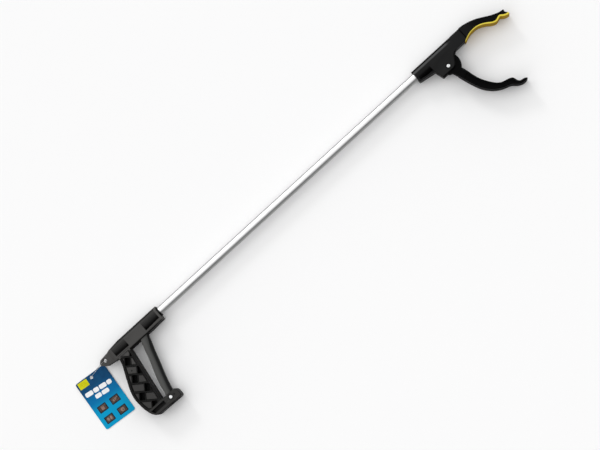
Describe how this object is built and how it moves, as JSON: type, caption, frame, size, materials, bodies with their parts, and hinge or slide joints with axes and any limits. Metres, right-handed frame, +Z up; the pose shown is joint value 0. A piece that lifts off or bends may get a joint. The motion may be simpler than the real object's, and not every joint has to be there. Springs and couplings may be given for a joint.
{
  "type": "reacher grabber",
  "caption": "Long-reach grabber with a pistol handle, long trigger, straight tube and a closing jaw against a fixed, lined jaw; lies on its side with a swing tag.",
  "frame": {"origin": "middle of the underside of the whole tool as it lies on its side", "axes": "+X along the tube from the handle to the jaws, -Y the way the grip hangs from the barrel, +Z up, square to the tool's side"},
  "size_m": [0.8692, 0.1278, 0.0251],
  "materials": {
    "black_handle_plastic": "fine spark-eroded texture, black",
    "black_trim_plastic": "smooth, black",
    "black_trigger_plastic": "fine texture, black",
    "black_head_plastic": "fine texture, black",
    "black_jaw_plastic": "smooth, black",
    "satin_aluminium": "satin anodised",
    "bright_steel": "bright zinc plate",
    "spring_steel": "drawn wire",
    "yellow_rubber": "soft, matt, yellow",
    "natural_nylon": "natural, satin",
    "clear_nylon": "clear, glossy",
    "printed_card": "printed, lightly glazed"
  },
  "bodies": {
    "frame": {"handle_body": "black_handle_plastic", "tube": "satin_aluminium", "tube_collar": "black_trim_plastic", "rear_rod_guide": "natural_nylon", "front_rod_guide": "natural_nylon", "handle_tube_screw": "bright_steel", "head_tube_screw": "bright_steel", "head_body": "black_head_plastic", "jaw_liner": "yellow_rubber", "jaw_pin": "bright_steel", "jaw_pin_clip": "bright_steel", "trigger_pin": "bright_steel", "trigger_pin_clip": "bright_steel", "return_spring": "spring_steel", "spring_seat": "bright_steel"},
    "trigger": {"trigger": "black_trigger_plastic"},
    "rod": {"pull_rod": "bright_steel", "rear_rod_end": "natural_nylon", "front_rod_end": "natural_nylon", "rear_cross_pin": "bright_steel", "front_cross_pin": "bright_steel", "spring_washer": "bright_steel"},
    "jaw": {"moving_jaw": "black_jaw_plastic"},
    "tag": {"tag_card": "printed_card", "tag_loop": "clear_nylon"}
  },
  "joints": [
    {"name": "trigger_pull", "type": "hinge", "parent": "frame", "child": "trigger", "pos_m": [-0.32551, -0.0548, 0.0125], "axis": [0, 0, 1], "range_deg": [0, 10.43], "stiffness_Nm_per_rad": 4, "springref_deg": -11.46},
    {"name": "rod_slide", "type": "slide", "parent": "frame", "child": "rod", "axis": [1, 0, 0], "range_m": [-0.0204, 0], "deforming": ["return_spring"]},
    {"name": "jaw_close", "type": "hinge", "parent": "frame", "child": "jaw", "pos_m": [0.31489, 0.032, 0.0125], "axis": [0, 0, 1], "range_deg": [0, 49.5]},
    {"name": "tag_swing", "type": "hinge", "parent": "frame", "child": "tag", "pos_m": [-0.36541, 0.0536, 0.0125], "axis": [0, 0, 1], "range_deg": [-110, 4]}
  ],
  "couplings": [
    {"joint": "rod_slide", "follows": "trigger_pull", "m_per_rad": -0.11142},
    {"joint": "jaw_close", "follows": "trigger_pull", "ratio": 4.7268}
  ]
}
